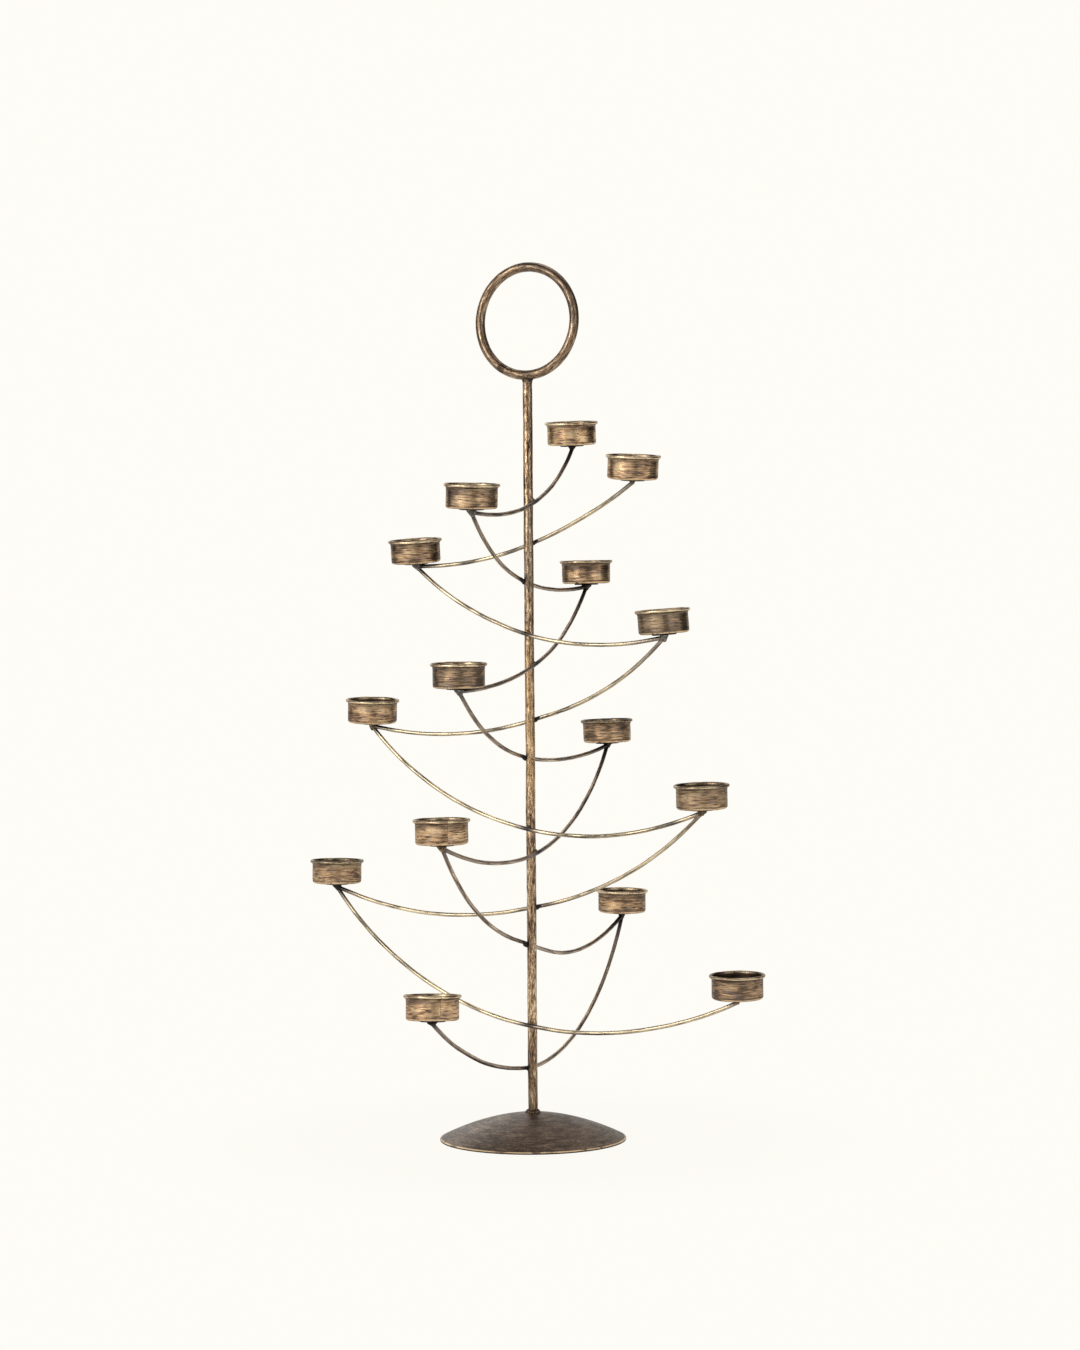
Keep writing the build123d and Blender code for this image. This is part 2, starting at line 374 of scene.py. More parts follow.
rodZones = (  # colours over a stretch of the rod: middle and half length in mm, colour, share
    (495, 46, (118, 111, 100), 0.45),
    (350, 80, (214, 176, 126), 0.4),
    (165, 85, (104, 82, 64), 0.2),
    (40, 66, (68, 51, 40), 0.5),
)
ringShift = 9000  # mm by which the ring's pattern is moved on, so that it differs from the rod's
ringZones = (
    (ringShift + 143, 300, (104, 87, 73), 0.6),
    (ringShift + 246, 60, (74, 63, 57), 0.6),
    (ringShift + 113, 5, (40, 30, 24), 0.9),
    (ringShift + 75, 20, (64, 48, 38), 0.4),
)
wireTones = {  # the material's name, then its dull, warm and shining colour
    "goldWire": ("wireGold", (92, 85, 77), (194, 178, 151), (238, 220, 181)),
    "greyWire": ("wireGrey", (92, 82, 74), (164, 145, 127), (222, 203, 176)),
}
weldTones = {  # deep, plain and lightest colour, share of the lightest; then roughness and rim
    "blackWeld": ((28, 24, 22), (54, 47, 42), (92, 85, 77), 0.06),
    "greyWeld": ((84, 79, 75), (128, 121, 114), (168, 162, 152), 0.12),
    "brownWeld": ((72, 58, 46), (120, 98, 76), (170, 142, 108), 0.12),
    "darkWeld": ((44, 34, 28), (86, 68, 53), (156, 128, 98), 0.1),
    # near black and matt: painted shadow under the cups, on the discs and the floors' undersides
    "shadowBlack": ((10, 8, 8), (20, 17, 15), (52, 44, 37), 0.04, 1.0, 30),
}


# inside gives the copy of the finish with the painted shade of a cup's inside
def cupFinish(name, inside):
    f = Finish(bpy.data.materials.new(name))
    strip = f.mark("strip")  # mm round from the seam, mm up, and a number for each cup
    tone = f.mark("tone")  # how gold, how grey, and how sooty the lip
    up = f.apart(strip, "Y")
    patches = f.noise(f.stretch(strip, (0.05, 0.1, 7.3)), 1.0, 2.0)
    streaks = f.noise(f.stretch(strip, (0.06, 0.75, 3.1)), 1.0, 2.0, 0.55, 0.1)
    hairs = f.noise(f.stretch(strip, (0.11, 1.1, 9.7)), 1.0, 2.0, 0.6)
    specks = f.noise(f.stretch(strip, (0.4, 0.95, 5.9)), 1.0, 3.0, 0.7)
    clouds = f.noise(f.stretch(strip, (0.09, 0.17, 4.7)), 1.0, 3.0, 0.6, 0.4)

    # Gold brushed over brown, a grey veil, violet grey blotches, and darker towards the lip
    brushed = patches * 0.4 + streaks * 0.25 + hairs * 0.35 + f.apart(tone, "X") * 0.1
    colour = f.blend(f.ease(brushed, 0.49, 0.59), colours["cupBrown"], colours["gold"])
    colour = f.blend(f.ease(brushed + specks * 0.2, 0.69, 0.73), colour, colours["bright"])
    veil = f.apart(tone, "Y") * f.ease(patches * 0.5 + specks * 0.5, 0.4, 0.6, 0.35, 0.85)
    colour = f.blend(veil, colour, colours["cupVeil"])
    colour = f.blend(f.ease(clouds, 0.5, 0.62, 0.0, 0.45), colour, colours["cupBlotch"])
    colour = f.blend(f.ease(up, 10.0, 16.5, 0.0, 0.5), colour, colours["umber"])

    # Soot in the scratches and where wall and floor meet, painted shade under the lip, and painted shade on
    # the underside
    dark = f.ease(streaks * 0.15 + hairs * 0.75 + specks * 0.1, 0.39, 0.43, 0.65, 0.0)
    # painted shade under the lip
    dark = f.most(dark, f.band(up, 16.0, 17.2, 17.7, 18.0) * f.ease(specks, 0.35, 0.6, 0.7, 0.2))
    dark = f.most(dark, f.band(up, 2.1, 2.4, 2.6, 3.2) * f.ease(patches, 0.4, 0.6, 0.2, 0.8))
    # painted shade on the underside
    dark = f.most(dark, f.ease(up, 0.1, 0.5, 0.8, 0.0))
    colour = f.blend(dark, colour, colours["soot"])

    # The lip: worn to brass in places, with painted shade on top and a painted highlight round the outside
    # on the worn spots
    worn = f.ease(patches * 0.6 + specks * 0.4, 0.4, 0.58)
    lip = f.blend(worn, colours["lipBrown"], colours["lipBrass"])
    # painted shade on top of the lip
    lip = f.blend(f.ease(up, 19.3, 19.9) * 0.4, lip, colours["lipTopShade"])
    # painted highlight round the outside of the lip, on its worn spots
    lip = f.blend(f.band(up, 17.9, 18.3, 18.7, 19.1) * worn, lip, colours["lipHighlight"])
    lip = f.blend(f.apart(tone, "Z") * f.ease(specks, 0.35, 0.6, 1.0, 0.7), lip, colours["lipSoot"])
    colour = f.blend(f.ease(up, 17.8, 18.1), colour, lip)

    # A rubbed line round the bottom, and painted shade inside
    rubbed = f.band(up, 0.45, 0.8, 1.2, 1.5) * f.ease(specks, 0.38, 0.5)
    colour = f.blend(rubbed, colour, colours["bright"])
    # painted shade inside the cup, deepest low down
    if inside:
        colour = f.blend(f.ease(up, 10.0, 18.6, 0.9, 0.55), colour, colours["insideShade"])
    rough = f.ease(streaks * 0.6 + specks * 0.4, 0.3, 0.7, 0.4, 0.26)
    height = streaks * 0.5 + hairs * 0.35 + specks * 0.3
    return f.metal(colour, rough + dark * 0.15, 1.0 - dark * 0.5, height, 0.00014, 208)


def rodFinish(name, zones):
    f = Finish(bpy.data.materials.new(name))
    strip = f.mark("strip")  # mm along, then mm across twice
    burnt = f.mark("burnt")  # soot, then heat tint
    along = f.apart(strip, "X")
    patches = f.noise(f.stretch(strip, (0.05, 0.2, 0.2)), 1.0, 2.0)
    streaks = f.noise(f.stretch(strip, (0.13, 0.95, 0.95)), 1.0, 3.0, 0.6, 0.3)
    hairs = f.noise(f.stretch(strip, (0.28, 1.7, 1.7)), 1.0, 3.0, 0.7)
    specks = f.noise(strip, 0.75, 3.0, 0.7)
    brushed = patches * 0.25 + streaks * 0.4 + hairs * 0.35
    colour = f.blend(f.ease(brushed, 0.42, 0.52), colours["rodBrown"], colours["rodGold"])
    colour = f.blend(f.ease(brushed + specks * 0.15, 0.6, 0.66), colour, colours["rodShine"])
    for middle, reach, tint, share in zones:
        core = reach * 0.5
        zone = f.band(along, middle - reach, middle - core, middle + core, middle + reach)
        covered = zone * f.ease(specks, 0.35, 0.6, share * 0.6, share)
        colour = f.blend(covered, colour, linear(*tint))
    dark = f.ease(streaks * 0.4 + specks * 0.6, 0.4, 0.46, 0.9, 0.0)
    dark = f.most(dark, f.apart(burnt, "X") * f.ease(specks, 0.36, 0.54, 1.0, 0.5))
    colour = f.blend(dark, colour, colours["rodSoot"])
    rough = f.ease(streaks, 0.3, 0.7, 0.46, 0.3)
    height = streaks * 0.5 + hairs * 0.4 + specks * 0.3
    return f.metal(colour, rough + dark * 0.12, 1.0 - dark * 0.5, height, 0.0002)


def wireFinish(name, dull, warm, shine):
    f = Finish(bpy.data.materials.new(name))
    strip = f.mark("strip")
    burnt = f.mark("burnt")
    patches = f.noise(f.stretch(strip, (0.025, 0.05, 0.05)), 1.0, 2.0)
    streaks = f.noise(f.stretch(strip, (0.06, 0.9, 0.9)), 1.0, 3.0, 0.6, 0.2)
    specks = f.noise(strip, 0.6, 3.0, 0.7)
    colour = f.blend(f.ease(streaks * 0.6 + patches * 0.4, 0.41, 0.53), linear(*dull), linear(*warm))
    shining = f.ease(streaks * 0.5 + specks * 0.25 + patches * 0.25, 0.54, 0.62)
    colour = f.blend(shining, colour, linear(*shine))
    tinted = f.apart(burnt, "Y") * f.ease(specks, 0.4, 0.6, 0.95, 0.6)
    colour = f.blend(tinted, colour, colours["wireTint"])
    dark = f.ease(streaks * 0.4 + specks * 0.6, 0.36, 0.45, 0.5, 0.0)
    dark = f.most(dark, f.apart(burnt, "X") * f.ease(specks, 0.4, 0.6, 1.0, 0.75))
    colour = f.blend(dark, colour, colours["wireSoot"])
    rough = f.ease(streaks, 0.3, 0.7, 0.46, 0.34)
    return f.metal(colour, rough + dark * 0.1, 1.0 - dark * 0.4, streaks * 0.6 + specks * 0.4, 0.0002)


def footFinish():
    f = Finish(bpy.data.materials.new("footBronze"))
    spot = f.place()
    up = f.apart(spot, "Z")
    patches = f.noise(spot, 24.0, 3.0, 0.55, 0.4)
    clouds = f.noise(spot, 85.0, 5.0, 0.65, 0.4)
    out = f.distance(spot, (0, 0, 0))
    turned = {"X": out * 620.0, "Y": f.apart(spot, "X") * 70.0, "Z": f.apart(spot, "Y") * 70.0}
    spun = f.noise(f.add("ShaderNodeCombineXYZ", None, turned), 1.0, 3.0, 0.65, 0.3)  # lines round the dome
    grain = f.noise(spot, 560.0, 3.0, 0.7)
    brown = f.ease(patches * 0.5 + clouds * 0.5, 0.4, 0.6)
    colour = f.blend(brown, colours["footDark"], colours["footBrown"])
    colour = f.blend(f.ease(spun * 0.6 + grain * 0.4, 0.48, 0.62, 0.0, 0.5), colour, colours["footShine"])
    colour = f.blend(f.ease(spun * 0.5 + grain * 0.5, 0.38, 0.46, 0.7, 0.0), colour, colours["soot"])

    # The edge is darker below 1.2 mm, and gold shows on its worn corner
    colour = f.blend(f.ease(up, 1.0 * mm, 1.2 * mm, 0.65, 0.0), colour, colours["footSide"])
    wear = f.noise(f.stretch(spot, (1, 1, 0.2)), 70.0, 4.0, 0.7)
    corner = f.band(up, 1.0 * mm, 1.15 * mm, 1.6 * mm, 1.95 * mm) * f.ease(wear, 0.38, 0.5, 0.15, 1.0)
    colour = f.blend(corner, colour, colours["bright"])
    rough = f.ease(clouds, 0.3, 0.7, 0.46, 0.36)
    return f.metal(colour, rough, 0.7, clouds * 0.3 + spun * 0.4 + grain * 0.3, 0.00025, 222)


def weldFinish(name, deep, plain, lightest, share, dull=0.62, rim=255):
    f = Finish(bpy.data.materials.new(name))
    spot = f.place()
    lumps = f.noise(spot, 260.0, 4.0, 0.65, 0.5)
    grit = f.noise(spot, 900.0, 3.0, 0.7)
    colour = f.blend(f.ease(lumps, 0.4, 0.62), linear(*deep), linear(*plain))
    bare = f.ease(lumps * 0.5 + grit * 0.5, 0.62 - share, 0.72 - share)
    colour = f.blend(bare, colour, linear(*lightest))
    rough = f.ease(grit, 0.3, 0.7, dull, dull - 0.2)
    return f.metal(colour, rough, f.ease(lumps, 0.4, 0.6, 0.5, 0.9), lumps * 0.7 + grit * 0.3, 0.0004, rim)


finishes = {
    "cupOutside": cupFinish("cupGold", False),
    "cupInsideShaded": cupFinish("cupGoldShadedInside", True),
    "rod": rodFinish("rodGold", rodZones),
    "ring": rodFinish("ringBronze", ringZones),
    "foot": footFinish(),
}
for name, look in wireTones.items():
    finishes[name] = wireFinish(*look)
for name, look in weldTones.items():
    finishes[name] = weldFinish(name, *look)
print("finishes are mixed")


# Tools for the pieces
def pick(piece):
    noneSelected()
    bpy.context.view_layer.objects.active = piece
    piece.select_set(True)


def applyPlace():
    bpy.ops.object.transform_apply(location=True, rotation=True, scale=True)


def applyAll(piece):
    pick(piece)
    for modifier in list(piece.modifiers):
        bpy.ops.object.modifier_apply(modifier=modifier.name)
    applyPlace()


def joinAll(pieces, name):
    noneSelected()
    for piece in pieces:
        piece.select_set(True)
    bpy.context.view_layer.objects.active = pieces[0]
    bpy.ops.object.join()
    joined = bpy.context.object
    joined.name = joined.data.name = name
    return joined


def editEdges(action):
    bpy.ops.object.mode_set(mode="EDIT")
    bpy.ops.mesh.select_mode(type="EDGE")
    bpy.ops.mesh.select_all(action=action)


def faceOutwards():
    bpy.ops.mesh.select_all(action="SELECT")
    bpy.ops.mesh.normals_make_consistent(inside=False)
    bpy.ops.object.mode_set(mode="OBJECT")


def pullRings(radius, height, profile):  # the selected edge loop goes up and out from ring to ring
    for nextRadius, nextHeight in profile:
        bpy.ops.mesh.extrude_edges_move()
        factor = nextRadius / radius
        bpy.ops.transform.resize(value=(factor, factor, 1), center_override=(0, 0, 0))
        bpy.ops.transform.translate(value=(0, 0, (nextHeight - height) * mm))
        radius, height = nextRadius, nextHeight


def wrinkle(piece, name, size, strength, group=None):  # soft unevenness, both faces of a sheet together
    texture = bpy.data.textures.new(name, "CLOUDS")
    texture.cloud_type = "COLOR"
    texture.noise_scale = size * mm
    texture.noise_depth = 2
    modifier = piece.modifiers.new(name, "DISPLACE")
    modifier.texture = texture
    modifier.texture_coords = "LOCAL"
    modifier.direction = "RGB_TO_XYZ"
    modifier.mid_level = 0.5
    modifier.strength = strength * mm
    if group:
        modifier.vertex_group = group


def settle(piece, node):
    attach(piece, "root")
    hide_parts(node)


# Cups
cup = {
    "sides": 128,
    "floorSides": 96,
    "wall": (  # radius and height of each ring up the outside
        (21.02, 2.5), (21.02, 3.2), (21.02, 6.0), (21.02, 9.5), (21.02, 13.0), (21.02, 15.3), (21.05, 16.2),
        (21.25, 16.9), (21.6, 17.35), (22.05, 17.6),
    ),
    "lip": (21.75, 18.8, 1.25),  # middle of the rolled lip's section, and its radius
    "lipTurns": (-62, -42, -22, -2, 18, 38, 58, 78, 98, 118, 138, 158),
    "lining": ((20.45, 18.5), (20.37, 17.4), (20.37, 12.0), (20.37, 7.0), (20.37, 2.5)),  # down the inside
    "floorStart": (6.0, 0.7),
    "floor": (
        (12.0, 0.7), (18.0, 0.7), (18.95, 0.76), (19.6, 1.1), (20.05, 1.6), (20.27, 2.1), (20.3, 2.4),
        (20.6, 2.46), (20.92, 2.4), (20.97, 2.0), (20.85, 1.35), (20.4, 0.68), (19.8, 0.25), (19.0, 0.04),
        (18.0, 0.0), (16.0, 0.0), (12.0, 0.0), (6.0, 0.0), (0.05, 0.0),
    ),
    "insideBelow": 19.7,  # height up to which the inner faces of the wall get the painted shade of the inside
    "insideAbove": 0.5,  # height from which the upward faces of the floor do
    "shadowWithin": 16,  # radius of the middle of a floor's underside that is black with painted shadow
    "seamFacing": (-48, 118, 105, 140, 96, 132, 150, 88, 124, 112, -50, 98, 143, 120, -46),
    "seamColumns": (0.14, 0.5, 1.1),  # mm from the seam to the nearest columns of the wall
    "seamOutside": 20.8,  # radius beyond which the seam's column sinks in
    "seamDepth": 0.22,
    "notchFrom": 17.6,  # height from which the seam is a notch in the lip
    "notchDepth": 0.9,
    "dents": (17.0, 0.5),  # size and strength in mm
    "ripple": (9.0, 0.25),
    "rippleFrom": (16.2, 17.8),  # heights between which the lip's ripple sets in
    "smooth": 50,  # edges up to this many degrees are shaded smooth
    "stripRadius": 21,  # the brush marks and the seam's columns are measured out at this radius
    "stripFrom": 18.5,  # radius within which the brush marks run straight across the floor
    "stripAcross": (6, 0.08),  # how fast the pattern changes there, along X and along Y
    "stripShift": 10,  # from the pattern of one cup to the next
    "tones": (  # how gold and how grey each cup is, and how sooty its lip, from 0 to 1
        (1.0, 0.0, 0.0), (0.75, 0.1, 0.0), (0.6, 0.4, 0.15), (0.45, 0.25, 0.1), (0.5, 0.2, 0.45),
        (0.55, 0.8, 0.0), (0.2, 0.5, 0.05), (0.6, 0.15, 0.3), (0.5, 0.25, 0.85), (0.75, 0.6, 0.5),
        (0.95, 0.05, 0.0), (0.65, 0.2, 0.7), (0.45, 0.15, 0.0), (0.3, 0.3, 0.35), (0.8, 0.1, 0.0),
    ),
}


def markStrip(piece):  # the pattern runs round from the seam and up, and straight across a floor
    strip = piece.data.attributes.new("strip", "FLOAT_VECTOR", "POINT")
    along, across = cup["stripAcross"]
    for vertex in piece.data.vertices:
        x, y, z = vertex.co / mm
        if math.hypot(x, y) > cup["stripFrom"]:
            around = (math.atan2(-y, -x) + math.pi) * cup["stripRadius"]
            strip.data[vertex.index].vector = (around, z, 0)
        else:
            strip.data[vertex.index].vector = (x * along, z, y * across)


def cutSeam(wall):  # columns crowd at the seam, and its own column sinks in
    step = math.tau / cup["sides"]
    for vertex in wall.data.vertices:
        x, y, z = vertex.co
        around, out = math.atan2(y, x), math.hypot(x, y)
        column = round(around / step)
        if 0 < abs(column) <= len(cup["seamColumns"]):
            around = math.copysign(cup["seamColumns"][abs(column) - 1] / cup["stripRadius"], column)
        if column == 0 and out > cup["seamOutside"] * mm:
            out -= (cup["notchDepth"] if z > cup["notchFrom"] * mm else cup["seamDepth"]) * mm
        vertex.co = (out * math.cos(around), out * math.sin(around), z)


def makeWall():
    radius, height = cup["wall"][0]
    middle, level, roll = cup["lip"]
    turns = [math.radians(turn) for turn in cup["lipTurns"]]
    lip = tuple((middle + roll * math.cos(turn), level + roll * math.sin(turn)) for turn in turns)
    noneSelected()
    bpy.ops.mesh.primitive_circle_add(
        vertices=cup["sides"], radius=radius * mm, location=(0, 0, height * mm)
    )
    wall = bpy.context.object
    applyPlace()
    editEdges("SELECT")
    pullRings(radius, height, cup["wall"][1:] + lip + cup["lining"])
    bpy.ops.mesh.select_all(action="DESELECT")
    bpy.ops.mesh.select_non_manifold()  # the first and the last ring
    bpy.ops.mesh.bridge_edge_loops()
    faceOutwards()
    cutSeam(wall)
    start, full = cup["rippleFrom"]
    edge = wall.vertex_groups.new(name="lip")
    for vertex in wall.data.vertices:
        rise = vertex.co.z / mm - start
        if rise > 0:
            edge.add([vertex.index], min(1, rise / (full - start)), "REPLACE")
    markStrip(wall)
    # the second finish carries the painted shade of the inside
    for name in ("cupOutside", "cupInsideShaded"):
        wall.data.materials.append(finishes[name])
    for face in wall.data.polygons:
        out = Vector((face.center.x, face.center.y, 0)).normalized()
        inward = face.normal.dot(out) < -0.5
        face.material_index = 1 if inward and face.center.z < cup["insideBelow"] * mm else 0
    return wall


def makeFloor():
    radius, height = cup["floorStart"]
    noneSelected()
    bpy.ops.mesh.primitive_circle_add(
        vertices=cup["floorSides"], radius=radius * mm, fill_type="TRIFAN", location=(0, 0, height * mm)
    )
    dish = bpy.context.object
    applyPlace()
    editEdges("DESELECT")
    bpy.ops.mesh.select_non_manifold()
    pullRings(radius, height, cup["floor"])
    bpy.ops.mesh.merge(type="CENTER")
    faceOutwards()
    markStrip(dish)
    for name in ("cupOutside", "cupInsideShaded", "shadowBlack"):
        dish.data.materials.append(finishes[name])
    for face in dish.data.polygons:  # what the candle stands on gets the painted shade of the inside, and the middle of the underside is black with painted shadow
        inward = face.center.z > cup["insideAbove"] * mm and face.normal.z > 0.3
        below = face.normal.z < -0.9 and face.center.xy.length < cup["shadowWithin"] * mm
        face.material_index = 1 if inward else 2 if below else 0
    return dish


def seatCopy(master, name, number):  # a copy in its place under or round a cup's bore
    piece = master.copy()
    piece.data = master.data.copy()
    piece.name = piece.data.name = name
    scene.collection.objects.link(piece)
    for entry in piece.data.attributes["strip"].data:
        entry.vector.z += number * cup["stripShift"]
    for entry in piece.data.attributes.new("tone", "FLOAT_VECTOR", "POINT").data:
        entry.vector = cup["tones"][number - 1]
    spot, axis = seats[number]
    facing = math.radians(cup["seamFacing"][number - 1])
    level = Vector((math.cos(facing), math.sin(facing), 0))
    across = (level - axis * level.dot(axis)).normalized()
    turn = Matrix((across, axis.cross(across), axis)).transposed().to_4x4()
    piece.matrix_world = Matrix.Translation(spot) @ turn
    pick(piece)
    applyPlace()
    return piece


def makeCups():
    masters = {"wall": makeWall(), "floor": makeFloor()}
    for number in sorted(seats):
        for part, master in masters.items():
            piece = seatCopy(master, f"cup{part.title()}{number:02}", number)
            wrinkle(piece, "dents", *cup["dents"])
            if part == "wall":
                wrinkle(piece, "ripple", *cup["ripple"], group="lip")
            applyAll(piece)
            bpy.ops.object.shade_smooth_by_angle(angle=math.radians(cup["smooth"]))
            settle(piece, f"cup_{part}_{number:02}")
    for master in masters.values():
        bpy.data.objects.remove(master)


makeCups()
print("cups are seated")


# Discs under the cups
disc = {
    "radius": 10.2,
    "thickness": 1.3,
    "rounding": 0.35,
    "sides": 56,
    "lift": 0.1,  # mm that it reaches into the cup's floor
    "smooth": 40,
}


def makeDiscs():
    discs = []
    for number in sorted(seats):
        spot, axis = seats[number]
        noneSelected()
        bpy.ops.mesh.primitive_cylinder_add(
            vertices=disc["sides"],
            radius=disc["radius"] * mm,
            depth=disc["thickness"] * mm,
            location=spot - axis * (disc["thickness"] / 2 - disc["lift"]) * mm,
            rotation=axis.to_track_quat("Z", "Y").to_euler(),
        )
        piece = bpy.context.object
        rounding = piece.modifiers.new("rounding", "BEVEL")
        rounding.width = disc["rounding"] * mm
        rounding.segments = 2
        applyAll(piece)
        bpy.ops.object.shade_smooth_by_angle(angle=math.radians(disc["smooth"]))
        discs.append(piece)
    piece = joinAll(discs, "discs")
    # the discs are black with painted shadow
    piece.data.materials.append(finishes["shadowBlack"])
    settle(piece, "backing_discs")


makeDiscs()
print("discs are laid")


# Welds
weld = {
    "grain": 0.42,  # voxel of the fused metal in mm
    "soften": (0.6, 9),  # how strongly and how often it is smoothed
    "lumps": 2.2,  # size in mm of its lumps, and how much stronger they are than its grit
    "grit": 0.8,  # size in mm
    # Metal under each cup, its radius in mm at the disc, then mm that it runs down: along its own
    # wire, along the other, between the two, and straight
    "underCups": (
        ("black", 3.8, 2.0, 0, 0, 0),
        ("grey", 2.8, 1.0, 0, 0, 0),
        ("grey", 4.6, 4.5, 2.5, 2.0, 3.0),
        ("grey", 4.5, 5.0, 1.5, 4.0, 2.0),
        ("black", 4.8, 4.0, 3.0, 2.0, 3.0),
        ("grey", 3.9, 3.0, 2.0, 1.5, 4.2),
        ("grey", 4.4, 5.0, 2.0, 2.5, 3.0),
        ("brown", 2.9, 2.5, 1.5, 1.0, 4.0),
        ("black", 4.2, 2.5, 2.0, 1.5, 0.5),
        ("brown", 4.6, 4.0, 3.0, 3.5, 2.5),
        ("brown", 4.6, 4.0, 1.5, 1.0, 3.2),
        ("black", 4.4, 4.0, 4.0, 5.0, 1.0),
        ("black", 3.4, 3.5, 3.0, 3.5, 2.5),
        ("brown", 1.9, 0.5, 0, 0, 0),
        ("black", 5.0, 1.6, 0, 0, 0.5),
    ),
    "top": 0.9,  # mm under the cup, inside its disc, where the metal starts
    "waist": 0.45,  # how far down a neck its waist is
    "sleeve": 1.95,  # radius of the metal where it ends on a wire
    "collar": 2.75,  # radius at the knot of the metal that runs straight down
    "drip": 1.2,  # and at its lower end
    "web": (0.75, 1.5),  # a lump between two wires: share of its way down, and radius in mm
    # Metal at each crossing, then its lumps: mm along the wire towards its cup, mm up, radius in mm
    "atRod": (
        ("brown", (0.0, 1.5, 2.1), (1.8, 1.8, 1.4)),
        ("black", (0.5, -1.0, 2.3), (3.4, -0.7, 1.8), (5.8, 0.3, 1.4)),
        ("black", (1.0, -1.2, 2.5), (4.2, -1.1, 2.1), (7.2, -0.1, 1.5)),
        ("brown", (0.0, 1.6, 2.2), (-2.0, 1.5, 1.4)),
        ("brown", (0.0, 0.3, 2.1), (2.2, -0.8, 1.4)),
        ("black", (0.5, -1.2, 2.4), (3.6, -0.9, 1.9), (6.0, 0.2, 1.4)),
        ("black", (0.8, -1.2, 2.4), (3.8, -1.1, 2.0), (6.4, -0.2, 1.4)),
        ("brown", (0.0, 1.2, 2.1), (1.6, 1.1, 1.3)),
        ("brown", (0.0, 1.2, 2.1), (-1.6, 1.2, 1.3)),
        ("black", (0.5, -1.2, 2.4), (3.6, -1.0, 1.9), (5.8, 0.0, 1.4)),
        ("black", (1.0, -1.4, 2.5), (4.4, -1.5, 2.2), (7.6, -0.3, 1.6)),
        ("brown", (0.0, 1.6, 2.2), (1.8, 1.5, 1.3)),
        ("black", (0.6, -0.8, 2.2), (2.8, -0.7, 1.5)),
    ),
    "sunk": 0.2,  # mm from the rod's face in to the middle of those lumps
    "ring": ((0, 0, 0, 4.5), (-3.2, 0, 1.8, 2.4), (3.4, 0, 1.7, 2.6), (0, 0.5, -2.2, 4.1)),
    "ringHeight": 636.6,
    "foot": (  # two rows of lumps round the rod: how many, mm out, mm up, radius in mm
        (13, 5.3, 0.1, 1.5),
        (10, 4.3, 1.6, 1.4),
    ),
    "footHeight": 22.3,
    "footScatter": (0.25, 0.3),  # share of the way to the next lump, and mm out and up
    "seed": 4,
}
ringSeat = Vector((0, 0, weld["ringHeight"] * mm))  # where the ring stands on the rod


def ball(spot, radius):
    noneSelected()
    bpy.ops.mesh.primitive_ico_sphere_add(subdivisions=3, radius=radius * mm, location=spot)
    return bpy.context.object


def cone(start, end, startRadius, endRadius):
    noneSelected()
    bpy.ops.mesh.primitive_cone_add(
        vertices=24,
        radius1=startRadius * mm,
        radius2=endRadius * mm,
        depth=(end - start).length,
        location=(start + end) / 2,
        rotation=(end - start).to_track_quat("Z", "Y").to_euler(),
    )
    return bpy.context.object


def fuse(name, lumps, finish, grit=0.26):  # lumps of molten metal run together
    piece = joinAll(lumps, name)
    applyPlace()
    remesh = piece.modifiers.new("fused", "REMESH")
    remesh.mode = "VOXEL"
    remesh.voxel_size = weld["grain"] * mm
    soften = piece.modifiers.new("softened", "SMOOTH")
    soften.factor, soften.iterations = weld["soften"]
    wrinkle(piece, "lumps", weld["lumps"], grit * weld["lumps"])
    wrinkle(piece, "grit", weld["grit"], grit)
    applyAll(piece)
    bpy.ops.object.shade_smooth()
    piece.data.materials.append(finish)
    return piece


def weldUnderCup(number):
    _, flare, own, other, between, straight = weld["underCups"][number - 1]
    spot, axis = seats[number]
    top, middle = spot - axis * weld["top"] * mm, knot(number)
    arms = [arm for arm in (number, number - 2) if 1 <= arm <= len(wire["arms"])]
    ways = [leaving(arm, number) for arm in arms]
    sleeve, collar = weld["sleeve"], weld["collar"]
    tip = middle + ways[0] * own * mm
    waist = top.lerp(tip, weld["waist"])
    neck = flare * 0.5 + sleeve * 0.5
    lumps = [cone(top, waist, flare, neck), cone(waist, tip, neck, sleeve), ball(middle, sleeve)]
    if straight:
        lumps.append(cone(top, middle, flare, collar))
        lumps.append(cone(middle, middle - axis * straight * mm, collar, weld["drip"]))
    if other:
        lumps.append(cone(middle, middle + ways[1] * other * mm, neck, sleeve))
    if between:
        share, radius = weld["web"]
        way = (ways[0] + ways[1]).normalized()
        lumps.append(ball(middle + way * between * share * mm, radius))
    return lumps


def weldCups(metal):
    numbers = [number for number in sorted(seats) if weld["underCups"][number - 1][0] == metal]
    lumps = [lump for number in numbers for lump in weldUnderCup(number)]
    settle(fuse(metal + "CupWelds", lumps, finishes[metal + "Weld"]), "cup_welds")


def weldArms(metal):
    lumps = []
    for number, (kind, *balls) in enumerate(weld["atRod"], start=1):
        if kind != metal:
            continue
        spot, climb = crossing(number)
        side = Vector(wire["arms"][number - 1][0])
        middle = spot - side * (wire["radius"] + wire["gap"] + weld["sunk"] * mm)
        for along, rise, radius in balls:
            lumps.append(ball(middle + (climb * along + Vector((0, 0, rise))) * mm, radius))
    settle(fuse(metal + "RodWelds", lumps, finishes[metal + "Weld"]), "stem_welds")


def weldRing():
    lumps = [ball(ringSeat + Vector((x, y, z)) * mm, radius) for x, y, z, radius in weld["ring"]]
    settle(fuse("ringWeld", lumps, finishes["darkWeld"], 0.2), "ring_weld")


